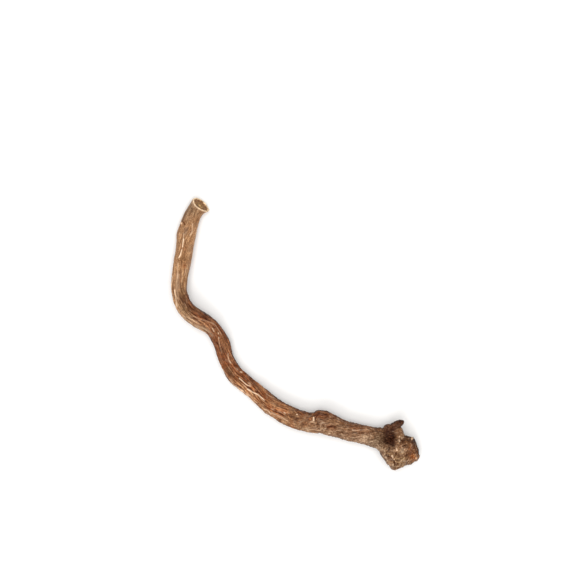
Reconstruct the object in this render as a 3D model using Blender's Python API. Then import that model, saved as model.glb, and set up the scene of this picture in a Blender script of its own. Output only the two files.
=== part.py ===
"""Dried dandelion root: one bent taproot with its crown, lying on a surface.

Metres, +Z up. The origin is on the surface, under the middle of the root's outline.
The root is lofted along its axis from the cut tail to the crown, its wrinkles and lumps are
raised by formulas, and the broken leaf bases of the crown are joined on by a Boolean union.
"""

import math

import bmesh
import bpy
from mathutils import Vector, noise

MM = 0.001
ROOT_NAME = "dandelion_root"

# The axis seen from above, from the tail to the crown. A station holds x and y, how far the
# root reaches to the left and to the right of the axis, and how high its underside lies, in mm.
STATIONS = [
    (-35.6, 56.4, 3.6, 3.5, 0.9),
    (-36.3, 55.4, 3.6, 3.5, 0.8),
    (-38.6, 52.2, 3.6, 3.5, 0.5),
    (-40.1, 49.8, 2.9, 3.5, 0.2),
    (-41.2, 47.8, 2.9, 3.5, 0.0),
    (-42.7, 44.2, 3.3, 3.6, -0.3),
    (-43.9, 39.8, 3.8, 3.8, -0.1),
    (-44.8, 32.5, 3.5, 3.5, 0.9),
    (-46.4, 25.2, 3.4, 3.3, 2.0),
    (-46.8, 17.2, 3.1, 3.1, 2.9),
    (-44.1, 10.7, 3.4, 3.4, 3.2),
    (-39.2, 6.5, 3.5, 3.5, 2.9),
    (-33.6, 2.9, 3.2, 3.2, 2.2),
    (-30.3, -2.6, 3.2, 3.1, 1.4),
    (-27.8, -10.0, 3.1, 3.1, 0.4),
    (-24.9, -15.5, 3.3, 3.2, -0.2),
    (-20.9, -19.2, 3.2, 3.1, -0.2),
    (-16.1, -23.1, 3.4, 3.4, 0.3),
    (-11.8, -26.8, 3.9, 3.5, 0.8),
    (-6.9, -30.2, 4.0, 3.7, 1.2),
    (-0.9, -33.6, 4.0, 3.9, 1.6),
    (3.6, -34.6, 3.7, 4.0, 1.8),
    (7.4, -34.6, 3.5, 4.8, 2.0),
    (9.9, -34.2, 3.9, 5.1, 2.0),
    (15.7, -36.2, 3.7, 4.7, 1.9),
    (20.6, -38.4, 3.6, 3.9, 1.6),
    (25.7, -39.5, 3.6, 3.8, 1.3),
    (30.8, -40.7, 3.9, 3.9, 1.0),
    (33.1, -41.6, 5.0, 4.2, 0.8),
    (35.1, -42.4, 6.9, 4.9, 0.5),
    (37.5, -43.7, 7.0, 6.1, 0.2),
    (39.9, -45.0, 6.2, 7.6, -0.1),
    (41.9, -46.0, 6.2, 8.2, -0.3),
    (43.9, -47.0, 6.2, 7.4, -0.2),
    (45.9, -48.0, 4.6, 4.9, 0.6),
    (47.5, -48.8, 3.2, 3.5, 1.7),
    (48.7, -49.4, 1.7, 1.6, 3.4),
]

# The taproot turns into its crown between these distances along the axis.
CROWN_START, CROWN_FULL = 142.0, 152.0

# The section is a little flatter than round, and the crown more so.
ROOT_FLATNESS = 0.95
CROWN_FLATNESS = 0.80

# How finely the loft is divided, in sides and in mm, and the span that its heading is read over.
SIDES = 44
RING_STEP = 1.6
CROWN_RING_STEP = 0.75
RING_STEP_CHANGE = 4.0
AXIS_STEPS = 24
HEADING_SPAN = 1.5

# The tail is sliced across at a slant, so that its face looks up a little.
CUT_CENTRE = (-38.6, 52.2, 4.1)
CUT_HEADING = math.radians(48.5)
CUT_TILT = math.radians(29.0)

# Lengthwise wrinkles that the rind drew up into as it dried. They are low on the smooth tail
# and highest round the bends, so their height is held as distance along the axis and height.
WRINKLE_SPACING = 1.25
WRINKLE_LENGTH = 9.0
WRINKLE_HEIGHTS = [(24.0, 0.45), (44.0, 0.75), (104.0, 0.70), (122.0, 0.50)]
CREST_LEVEL = 0.3
WRINKLE_SWAY = 0.9
SWAY_LENGTH = 16.0
CROWN_WRINKLES = 0.6

# Slow lumps that make the root uneven along its length.
SWELL_SIZE = 7.0
SWELL_HEIGHT = 0.45

# Crumbly knobs on the crown, coarse and fine.
KNOB_SIZES = (3.4, 1.5)
KNOB_HEIGHTS = (1.5, 0.8)

# The relief dies out where the crown closes and the section gets this small.
SMOOTH_BELOW = 3.0

# Scars and warts where rootlets broke off, and the hollow in the crown. Each holds its
# distance along the axis in mm, its angle up from the left side in degrees, its size along
# and across in mm, and its height in mm, which is negative for a hollow.
BUMPS = [
    (14.5, 150.0, 1.0, 0.9, 0.55),
    (15.6, 126.0, 0.8, 0.8, -0.4),
    (22.8, 104.0, 4.5, 0.7, 0.4),
    (60.0, 250.0, 1.6, 1.2, 0.6),
    (63.5, 95.0, 3.0, 0.8, 0.45),
    (104.0, 300.0, 1.4, 1.4, 0.8),
    (120.5, 60.0, 0.8, 2.2, 0.4),
    (124.0, 15.0, 3.0, 2.0, 0.5),
    (126.5, 95.0, 1.3, 1.3, 0.4),
    (128.2, 102.0, 1.6, 0.7, -0.5),
    (139.5, 240.0, 1.3, 1.3, 0.7),
    (143.8, 32.0, 1.0, 0.8, 0.5),
    (151.8, 84.0, 2.4, 3.6, -4.2),
]

# Broken leaf bases and a side bud on the crown: x, y, z of the sunken root and of the tip,
# with the radius at each, in mm.
STUBS = [
    ((39.7, -39.2, 5.6), (42.8, -34.3, 8.8), 3.1, 0.9),
    ((39.8, -44.8, 7.8), (42.3, -38.2, 8.6), 1.9, 1.5),
    ((41.0, -45.5, 6.0), (45.9, -43.1, 8.2), 2.8, 1.5),
    ((41.0, -48.5, 4.5), (48.2, -50.5, 4.2), 3.0, 1.6),
    ((40.5, -49.0, 4.0), (38.4, -54.0, 3.6), 3.0, 1.3),
]
STUB_SIDES = 10
STUB_RINGS = 8
STUB_BLUNTNESS = 4
STUB_GRAIN = 1.3
STUB_ROUGHNESS = 0.5

RIND_COLOUR = (0.262, 0.141, 0.072, 1.0)
RIND_ROUGHNESS = 0.62


def clear_scene():
    for thing in list(bpy.data.objects):
        bpy.data.objects.remove(thing, do_unlink=True)


def new_collection(name):
    collection = bpy.data.collections.new(name)
    bpy.context.scene.collection.children.link(collection)
    return collection


def rind_material():
    """Dull brown, finely wrinkled rind."""
    material = bpy.data.materials.new("root_rind")
    material.use_nodes = True
    shader = material.node_tree.nodes["Principled BSDF"]
    shader.inputs["Base Color"].default_value = RIND_COLOUR
    shader.inputs["Roughness"].default_value = RIND_ROUGHNESS
    shader.inputs["Metallic"].default_value = 0.0
    return material


def smooth_step(value, low, high):
    t = min(max((value - low) / (high - low), 0.0), 1.0)
    return t * t * (3.0 - 2.0 * t)


def value_between(pairs, place):
    """The value at a place, from pairs of place and value, held level past both ends."""
    for (start, low), (end, high) in zip(pairs, pairs[1:]):
        if place <= end:
            share = max((place - start) / (end - start), 0.0)
            return low + (high - low) * share
    return pairs[-1][1]


def between(stations, index, t):
    """A station on the smooth (Catmull-Rom) curve between stations index and index + 1."""
    last = len(stations) - 1
    before, start = stations[max(index - 1, 0)], stations[index]
    end, after = stations[index + 1], stations[min(index + 2, last)]
    return [
        0.5 * (2 * p1 + (p2 - p0) * t + (2 * p0 - 5 * p1 + 4 * p2 - p3) * t * t
               + (3 * p1 - p0 - 3 * p2 + p3) * t * t * t)
        for p0, p1, p2, p3 in zip(before, start, end, after)
    ]


def axis_samples(stations):
    """The smooth axis as close samples, each with its distance along the axis in front."""
    samples = []
    distance = 0.0
    for index in range(len(stations) - 1):
        for step in range(AXIS_STEPS):
            station = between(stations, index, step / AXIS_STEPS)
            if samples:
                distance += math.dist(station[:2], samples[-1][1:3])
            samples.append([distance] + station)
    distance += math.dist(stations[-1][:2], samples[-1][1:3])
    samples.append([distance] + list(stations[-1]))
    return samples


def sample_at(samples, distance):
    """The values of the axis at a distance along it."""
    for low, high in zip(samples, samples[1:]):
        if distance <= high[0]:
            t = (distance - low[0]) / (high[0] - low[0])
            return [a + (b - a) * t for a, b in zip(low, high)]
    return samples[-1]


def ring_distances(length):
    """Where the rings stand along the axis: closer together on the crown."""
    distances = []
    distance = 0.0
    while distance < length:
        distances.append(distance)
        crown = smooth_step(distance, CROWN_START - RING_STEP_CHANGE,
                            CROWN_START + RING_STEP_CHANGE)
        distance += RING_STEP + (CROWN_RING_STEP - RING_STEP) * crown
    distances[-1] = length
    return distances


def wrinkle_height(distance, turn, radius):
    """Sharp crests that run lengthwise, sway from side to side and run into each other."""
    sway = WRINKLE_SWAY * noise.noise(Vector((distance / SWAY_LENGTH, 3.7, 0.0)))
    around = radius / WRINKLE_SPACING
    place = Vector((math.cos(turn + sway) * around, math.sin(turn + sway) * around,
                    distance / WRINKLE_LENGTH))
    height = value_between(WRINKLE_HEIGHTS, distance)
    return height * (CREST_LEVEL - 2.0 * abs(noise.noise(place)))


def bump_height(distance, turn, radius):
    """Scars, warts and the hollow of the crown."""
    height = 0.0
    for place, angle, along, across, rise in BUMPS:
        away = math.remainder(turn - math.radians(angle), math.tau) * radius
        height += rise * math.exp(-((distance - place) / along) ** 2 - (away / across) ** 2)
    return height


def knob_height(point):
    """Crumbly lumps of the crown."""
    return sum(
        height * noise.noise(point / size)
        for size, height in zip(KNOB_SIZES, KNOB_HEIGHTS)
    )


def root_section(samples, distance):
    """One ring of points round the axis, in mm."""
    _, x, y, left, right, underside = sample_at(samples, distance)
    before = sample_at(samples, max(distance - HEADING_SPAN, 0.0))
    after = sample_at(samples, min(distance + HEADING_SPAN, samples[-1][0]))
    ahead = Vector((after[1] - before[1], after[2] - before[2], 0.0)).normalized()
    aside = Vector((-ahead.y, ahead.x, 0.0))
    crown = smooth_step(distance, CROWN_START, CROWN_FULL)
    half_width = (left + right) / 2
    half_depth = half_width * (ROOT_FLATNESS + (CROWN_FLATNESS - ROOT_FLATNESS) * crown)
    centre = Vector((x, y, underside + half_depth)) + aside * (left - right) / 2
    ring = []
    for side in range(SIDES):
        turn = math.tau * side / SIDES
        plain = centre + aside * half_width * math.cos(turn)
        plain.z += half_depth * math.sin(turn)
        height = wrinkle_height(distance, turn, half_width)
        height *= 1.0 + (CROWN_WRINKLES - 1.0) * crown
        height += SWELL_HEIGHT * noise.noise(plain / SWELL_SIZE)
        height += bump_height(distance, turn, half_width)
        height += crown * knob_height(plain)
        height *= smooth_step(half_width, 0.0, SMOOTH_BELOW)
        point = plain + aside * height * math.cos(turn)
        point.z = max(point.z + height * math.sin(turn), 0.0)
        ring.append(point)
    return ring


def loft_root(collection):
    """The taproot as rings of points skinned from the tail to the crown's end."""
    samples = axis_samples(STATIONS)
    mesh = bmesh.new()
    rings = [
        [mesh.verts.new(point * MM) for point in root_section(samples, distance)]
        for distance in ring_distances(samples[-1][0])
    ]
    for ring, following in zip(rings, rings[1:]):
        for side in range(SIDES):
            beyond = (side + 1) % SIDES
            mesh.faces.new((ring[side], following[side], following[beyond], ring[beyond]))
    mesh.faces.new(rings[0])
    tip = mesh.verts.new(sum((vert.co for vert in rings[-1]), Vector()) / SIDES)
    for side in range(SIDES):
        mesh.faces.new((rings[-1][(side + 1) % SIDES], rings[-1][side], tip))
    slice_tail(mesh)
    bmesh.ops.recalc_face_normals(mesh, faces=mesh.faces)
    return mesh_object(mesh, ROOT_NAME, collection)


def slice_tail(mesh):
    """Cuts the tail off along a slanting plane and closes it with a flat face."""
    level = math.cos(CUT_TILT)
    normal = Vector((level * math.cos(CUT_HEADING), level * math.sin(CUT_HEADING),
                     math.sin(CUT_TILT)))
    parts = bmesh.ops.bisect_plane(
        mesh,
        geom=mesh.verts[:] + mesh.edges[:] + mesh.faces[:],
        plane_co=Vector(CUT_CENTRE) * MM,
        plane_no=normal,
        clear_outer=True,
    )
    rim = [part for part in parts["geom_cut"] if isinstance(part, bmesh.types.BMEdge)]
    bmesh.ops.contextual_create(mesh, geom=rim)


def mesh_object(mesh, name, collection):
    """Turns a bmesh in triangles into an object of the collection."""
    bmesh.ops.triangulate(mesh, faces=mesh.faces)
    data = bpy.data.meshes.new(name)
    mesh.to_mesh(data)
    mesh.free()
    thing = bpy.data.objects.new(name, data)
    collection.objects.link(thing)
    return thing


def add_stub(index, stub, collection):
    """A short tapered stump with a blunt, uneven tip, sunk well into the crown."""
    root, tip, root_radius, tip_radius = stub
    root, tip = Vector(root), Vector(tip)
    turn = (tip - root).to_track_quat("Z", "Y")
    mesh = bmesh.new()
    bmesh.ops.create_uvsphere(mesh, u_segments=STUB_SIDES, v_segments=STUB_RINGS, radius=1.0)
    for vert in mesh.verts:
        along = (vert.co.z + 1.0) / 2
        radius = root_radius + (tip_radius - root_radius) * along
        radius *= math.sqrt(1.0 - abs(vert.co.z) ** STUB_BLUNTNESS)
        outward = Vector((vert.co.x, vert.co.y, 0.0)).normalized()
        point = root.lerp(tip, along) + turn @ (outward * radius)
        grain = STUB_ROUGHNESS * noise.noise(point / STUB_GRAIN)
        vert.co = (point + turn @ outward * grain) * MM
    mesh_object(mesh, f"stub_{index}", collection)


def join_stubs(root):
    """Fuses the stubs to the root, and removes them once they are joined."""
    bpy.context.view_layer.update()
    stubs = new_collection("stubs")
    for index, stub in enumerate(STUBS):
        add_stub(index, stub, stubs)
    union = root.modifiers.new("join_stubs", "BOOLEAN")
    union.operation = "UNION"
    union.operand_type = "COLLECTION"
    union.collection = stubs
    union.solver = "EXACT"
    joined = bpy.data.meshes.new_from_object(
        root.evaluated_get(bpy.context.evaluated_depsgraph_get())
    )
    root.modifiers.remove(union)
    root.data = joined
    joined.name = ROOT_NAME
    for thing in list(stubs.objects):
        bpy.data.objects.remove(thing, do_unlink=True)
    bpy.data.collections.remove(stubs)


def stand_on_origin(root):
    """Puts the middle of the root's outline over the origin."""
    xs = [vert.co.x for vert in root.data.vertices]
    ys = [vert.co.y for vert in root.data.vertices]
    middle = Vector(((min(xs) + max(xs)) / 2, (min(ys) + max(ys)) / 2, 0.0))
    for vert in root.data.vertices:
        vert.co -= middle


def build():
    clear_scene()
    collection = new_collection(ROOT_NAME)
    root = loft_root(collection)
    join_stubs(root)
    stand_on_origin(root)
    root.data.materials.clear()
    root.data.materials.append(rind_material())
    root.data.shade_smooth()


build()
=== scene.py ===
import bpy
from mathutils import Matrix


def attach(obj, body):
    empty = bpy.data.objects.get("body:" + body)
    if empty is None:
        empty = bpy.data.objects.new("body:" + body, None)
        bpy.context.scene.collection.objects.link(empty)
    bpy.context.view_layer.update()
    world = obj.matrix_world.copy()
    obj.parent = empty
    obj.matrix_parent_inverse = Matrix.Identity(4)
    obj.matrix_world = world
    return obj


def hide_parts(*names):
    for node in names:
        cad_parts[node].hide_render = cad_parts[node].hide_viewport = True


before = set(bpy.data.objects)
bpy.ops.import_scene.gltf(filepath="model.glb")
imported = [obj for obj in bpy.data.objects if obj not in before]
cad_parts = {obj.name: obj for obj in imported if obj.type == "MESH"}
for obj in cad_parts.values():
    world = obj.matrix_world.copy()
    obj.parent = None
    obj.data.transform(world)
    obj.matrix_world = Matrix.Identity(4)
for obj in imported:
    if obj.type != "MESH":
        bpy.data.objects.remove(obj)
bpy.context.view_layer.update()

import math

import bpy
import numpy as np
from mathutils import Vector, noise

# The taproot: one bent length of dried root, mostly six to eight millimetres thick, lifted whole
# and sliced across at the tail. It shrank and bent as it dried. Its axis and girth are those of
# the solid that it stands for. All lengths are in millimetres.
STATIONS = [  # x, y, half width on the left and on the right, height of the underside
    (-35.6, 56.4, 3.6, 3.5, 0.9),
    (-36.3, 55.4, 3.6, 3.5, 0.8),
    (-38.6, 52.2, 3.6, 3.5, 0.5),
    (-40.1, 49.8, 2.9, 3.5, 0.2),
    (-41.2, 47.8, 2.9, 3.5, 0.0),
    (-42.7, 44.2, 3.3, 3.6, -0.3),
    (-43.9, 39.8, 3.8, 3.8, -0.1),
    (-44.8, 32.5, 3.5, 3.5, 0.9),
    (-46.4, 25.2, 3.4, 3.3, 2.0),
    (-46.8, 17.2, 3.1, 3.1, 2.9),
    (-44.1, 10.7, 3.4, 3.4, 3.2),
    (-39.2, 6.5, 3.5, 3.5, 2.9),
    (-33.6, 2.9, 3.2, 3.2, 2.2),
    (-30.3, -2.6, 3.2, 3.1, 1.4),
    (-27.8, -10.0, 3.1, 3.1, 0.4),
    (-24.9, -15.5, 3.3, 3.2, -0.2),
    (-20.9, -19.2, 3.2, 3.1, -0.2),
    (-16.1, -23.1, 3.4, 3.4, 0.3),
    (-11.8, -26.8, 3.9, 3.5, 0.8),
    (-6.9, -30.2, 4.0, 3.7, 1.2),
    (-0.9, -33.6, 4.0, 3.9, 1.6),
    (3.6, -34.6, 3.7, 4.0, 1.8),
    (7.4, -34.6, 3.5, 4.8, 2.0),
    (9.9, -34.2, 3.9, 5.1, 2.0),
    (15.7, -36.2, 3.7, 4.7, 1.9),
    (20.6, -38.4, 3.6, 3.9, 1.6),
    (25.7, -39.5, 3.6, 3.8, 1.3),
    (30.8, -40.7, 3.9, 3.9, 1.0),
    (33.1, -41.6, 5.0, 4.2, 0.8),
    (35.1, -42.4, 6.9, 4.9, 0.5),
    (37.5, -43.7, 7.0, 6.1, 0.2),
    (39.9, -45.0, 6.2, 7.6, -0.1),
    (41.9, -46.0, 6.2, 8.2, -0.3),
    (43.9, -47.0, 6.2, 7.4, -0.2),
    (45.9, -48.0, 4.6, 4.9, 0.6),
    (47.5, -48.8, 3.2, 3.5, 1.7),
    (48.7, -49.4, 1.7, 1.6, 3.4),
]
MIDDLE = (-0.354, 0.435, 0.0)  # of the solid's box, where the part has its origin
AXIS_STEPS, HEADING_SPAN = 24, 1.5
ROOT_FLATNESS, CROWN_FLATNESS = 0.95, 0.80
CROWN_START, CROWN_FULL = 142.0, 152.0
SIDES, CLOSER_ON_TOP = 144, 0.4  # mesh lines along the rind, and how far they crowd on top
RING_STEP, CROWN_RING_STEP, RING_STEP_EASE = 0.31, 0.16, 4.0
CUT_CENTRE = (-38.6, 52.2, 4.1)
CUT_HEADING, CUT_TILT = math.radians(48.5), math.radians(29.0)
CUT_EASE, CUT_HALVINGS = 9.0, 24


def smooth_step(value, low, high):
    t = np.clip((value - low) / (high - low), 0.0, 1.0)
    return t * t * (3.0 - 2.0 * t)


def axis_samples():
    """The smooth axis through the stations: distance, x, y, left, right, underside."""
    last = len(STATIONS) - 1
    points = []
    for index in range(last):
        p0, p1 = STATIONS[max(index - 1, 0)], STATIONS[index]
        p2, p3 = STATIONS[index + 1], STATIONS[min(index + 2, last)]
        for step in range(AXIS_STEPS):
            t = step / AXIS_STEPS
            points.append([
                0.5 * (2 * b + (c - a) * t + (2 * a - 5 * b + 4 * c - d) * t * t
                       + (3 * b - a - 3 * c + d) * t * t * t)
                for a, b, c, d in zip(p0, p1, p2, p3)
            ])
    points = np.array(points + [list(STATIONS[-1])])
    lengths = np.hypot(*np.diff(points[:, :2], axis=0).T)
    return np.column_stack([np.concatenate([[0.0], np.cumsum(lengths)]), points])


AXIS = axis_samples()
LENGTH = AXIS[-1, 0]


def along_axis(distance, column):
    return np.interp(distance, AXIS[:, 0], AXIS[:, column])


def plain_surface(distance, turn):
    """Points of the plain section, the way aside, the half width and the crown's share."""
    heading = [along_axis(distance + HEADING_SPAN, column)
               - along_axis(distance - HEADING_SPAN, column) for column in (1, 2)]
    span = np.hypot(*heading)
    aside = np.stack([-heading[1] / span, heading[0] / span, np.zeros_like(span)], -1)
    x, y, left, right, underside = (along_axis(distance, column) for column in range(1, 6))
    crown = smooth_step(distance, CROWN_START, CROWN_FULL)
    half_width = (left + right) / 2
    half_depth = half_width * (ROOT_FLATNESS + (CROWN_FLATNESS - ROOT_FLATNESS) * crown)
    reach = (left - right) / 2 + half_width * np.cos(turn)
    point = np.stack([x, y, underside + half_depth * (1 + np.sin(turn))], -1)
    return point + aside * reach[..., None], aside, half_width, crown


def cut_distances(turn):
    """How far along the axis the slanting tail cut meets the rind, and the cut's normal."""
    level = math.cos(CUT_TILT)
    normal = np.array([level * math.cos(CUT_HEADING), level * math.sin(CUT_HEADING),
                       math.sin(CUT_TILT)])
    near, far = np.zeros_like(turn), np.full_like(turn, 2 * CUT_EASE)
    for _ in range(CUT_HALVINGS):
        middle = (near + far) / 2
        beyond = (plain_surface(middle, turn)[0] - CUT_CENTRE) @ normal > 0.0
        near, far = np.where(beyond, middle, near), np.where(beyond, far, middle)
    return near, normal


def ring_stands(start):
    """Where the rings stand along the axis, from the tail cut to the crown's end."""
    stands = [start]
    while stands[-1] < LENGTH - CROWN_RING_STEP:
        closer = float(smooth_step(stands[-1], CROWN_START - RING_STEP_EASE,
                                   CROWN_START + RING_STEP_EASE))
        stands.append(stands[-1] + RING_STEP + (CROWN_RING_STEP - RING_STEP) * closer)
    return np.array(stands)


even_turn = np.arange(SIDES) / SIDES * math.tau
turn_row = even_turn + CLOSER_ON_TOP * np.cos(even_turn)
cuts, cut_normal = cut_distances(turn_row)
stands = ring_stands(float(cuts[0]))[:, None]
ease = 1.0 - smooth_step(stands, stands[0, 0], stands[0, 0] + CUT_EASE)
distance = stands + (cuts - stands[0, 0])[None, :] * ease
turn = np.broadcast_to(turn_row, distance.shape)
plain, aside, radius, crown = plain_surface(distance, turn)

# Folds of the rind: the cork skin creased lengthwise as the flesh inside it shrank. Coarse folds,
# long seams and fine strands run along it, lower on the smooth tail. Below the crown the skin is
# crazed like a net, and dashes, threads and specks of cork make its grain.

# A pattern here is its spacing around the root, its length along it, and its seed. Cork scales
# are 0.1 to 0.2 mm wide, and the grain is drawn at 0.4 mm, one pixel wide, so that it shows.
FOLDS, FOLD_LEVEL = (1.25, 9.0, 0.0), 0.7
FOLD_SWAY, SWAY_LENGTH, SWAY_SEED = 0.9, 16.0, 3.7
FOLD_DRIFT, DRIFT_REACH = (2.5, 5.0, 21.0), 0.35
SLANT_START, SLANT = 112.0, 0.07
SEAMS, SEAM_WIDTH = (1.7, 26.0, 5.0), 0.09
GROOVES, GROOVE_WIDTH, GROOVE_SHARE = (0.7, 9.0, 11.0), 0.11, 0.7
CRESTS, CREST_WIDTH, CREST_SHARE = (0.8, 11.0, 17.0), 0.09, 0.5
NET, NET_BEND, NET_WIDTH = (0.95, 1.7, 51.0), 0.4, 0.16
NET_LEVEL, NET_STEPS = 0.3, 0.5
DASHES, THREADS = (0.42, 1.5, 41.0), (0.44, 7.0, 47.0)
SPECK_SIZE, SPECK_SEED = 0.38, 61.0
GRAIN_GAIN = 1.8
PATCH_SIZE, FINE_PATCH_SIZE, FINE_PATCH_SEED = 5.0, 1.6, 31.0
LUMP_SIZE, LUMP_HEIGHT = 7.0, 0.45
PALE_CRESTS, PALE_CREST_PATCHES = 2.2, (-0.2, 0.5)
PALE_NET, PALE_NET_PATCHES = 1.6, (-0.35, 0.4)
DARK_SEAMS, DARK_GROOVES = 2.6, 1.6
DARK_VALLEYS, VALLEY_DEPTHS = 0.6, (-0.45, 0.3)
CELL_CHANCE_STEP = 7.3
FOLD_HEIGHT = [(6, 0.20), (34, 0.20), (44, 0.32), (66, 0.22), (84, 0.36), (104, 0.34),
               (118, 0.22), (150, 0.22)]
SEAM_DEPTH = [(6, 0.05), (34, 0.06), (46, 0.12), (64, 0.12), (84, 0.20), (108, 0.18),
              (118, 0.08), (166, 0.08)]
STRAND_HEIGHT = [(6, 0.08), (34, 0.10), (46, 0.16), (66, 0.10), (84, 0.24), (106, 0.20),
                 (118, 0.10), (166, 0.08)]
NET_HEIGHT = [(6, 0.03), (60, 0.05), (78, 0.10), (104, 0.08), (116, 0.14), (148, 0.18),
              (166, 0.16)]
GRAIN_HEIGHT = [(6, 0.09), (34, 0.10), (48, 0.10), (66, 0.08), (86, 0.15), (106, 0.14),
                (118, 0.15), (166, 0.15)]
DASH_SHARE = [(6, 0.25), (36, 0.3), (46, 0.5), (62, 0.5), (84, 0.3), (100, 0.4), (112, 0.9),
              (166, 0.9)]
THREAD_SHARE = [(6, 0.55), (36, 0.7), (46, 1.1), (62, 0.8), (80, 0.8), (86, 1.3), (104, 1.0),
                (118, 0.3), (166, 0.0)]
SPECK_SHARE = [(40, 0.0), (50, 0.25), (62, 0.7), (72, 0.1), (84, 0.0), (98, 0.2), (108, 0.6),
               (166, 0.6)]


def along(profile, distance):
    """A value that changes along the root, from (distance, value) pairs."""
    return np.interp(distance, *zip(*profile))


def noise_over(points):
    flat = points.reshape(-1, 3).tolist()
    return np.array([noise.noise(point) for point in flat]).reshape(points.shape[:-1])


def cells_over(points):
    """Distance from the nearest cell border, and a random number from 0 to 1 for the cell."""
    flat = points.reshape(-1, 3).tolist()
    found = [noise.voronoi(point) for point in flat]
    border = np.array([reach[1] - reach[0] for reach, _ in found])
    chance = np.array([0.5 + 0.5 * noise.cell(seeds[0] * CELL_CHANCE_STEP) for _, seeds in found])
    return border.reshape(points.shape[:-1]), chance.reshape(points.shape[:-1])


def rind_place(spacing, length, seed):
    """Coordinates on the rind for a pattern of this spacing around and length along it."""
    return np.stack([np.cos(lean) * radius / spacing + seed,
                     np.sin(lean) * radius / spacing - seed, distance / length + seed], -1)


def line(field, width):
    """1 along the lines where a noise field crosses zero, falling away over the width."""
    return np.exp(-(field / width) ** 2)


sway_places = np.stack([stands[:, 0] / SWAY_LENGTH, np.full(len(stands), SWAY_SEED),
                        np.zeros(len(stands))], -1)
lean = turn + FOLD_SWAY * noise_over(sway_places)[:, None]
fold = 1.0 - 2.0 * abs(noise_over(rind_place(*FOLDS)))
lean = lean + SLANT * np.maximum(stands - SLANT_START, 0.0)
lean = lean + DRIFT_REACH / radius * noise_over(rind_place(*FOLD_DRIFT))
seam = line(noise_over(rind_place(*SEAMS)), SEAM_WIDTH)
groove = line(noise_over(rind_place(*GROOVES)), GROOVE_WIDTH)
crest = line(noise_over(rind_place(*CRESTS)), CREST_WIDTH)
patches = noise_over(plain / PATCH_SIZE)
fine_patches = noise_over(plain / FINE_PATCH_SIZE + FINE_PATCH_SEED)
dashes = GRAIN_GAIN * noise_over(rind_place(*DASHES))
threads = GRAIN_GAIN * noise_over(rind_place(*THREADS))
grain = along(DASH_SHARE, distance) * dashes + along(THREAD_SHARE, distance) * threads
specks = GRAIN_GAIN * noise_over(plain / SPECK_SIZE + SPECK_SEED)
net_border, net_chance = cells_over(rind_place(*NET) + NET_BEND * fine_patches[..., None])
net = line(net_border, NET_WIDTH)

relief = along(FOLD_HEIGHT, distance) * (fold - FOLD_LEVEL)
relief += LUMP_HEIGHT * noise_over(plain / LUMP_SIZE)
relief -= along(SEAM_DEPTH, distance) * seam
relief += along(STRAND_HEIGHT, distance) * (CREST_SHARE * crest - GROOVE_SHARE * groove)
relief += along(NET_HEIGHT, distance) * (net - NET_LEVEL + NET_STEPS * (net_chance - 0.5))
relief += along(GRAIN_HEIGHT, distance) * grain
# Pale on the crests is partly rubbed wear and partly painted highlight.
pale = (along(STRAND_HEIGHT, distance) * PALE_CRESTS * crest
        * smooth_step(fine_patches, *PALE_CREST_PATCHES))
pale += along(NET_HEIGHT, distance) * PALE_NET * net * smooth_step(fine_patches, *PALE_NET_PATCHES)
# Dark in the seams, grooves and fold valleys is partly darker cork and partly painted shade.
dark = along(SEAM_DEPTH, distance) * DARK_SEAMS * seam
dark += along(STRAND_HEIGHT, distance) * DARK_GROOVES * groove
dark += DARK_VALLEYS * along(FOLD_HEIGHT, distance) * smooth_step(-fold, *VALLEY_DEPTHS)
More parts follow.
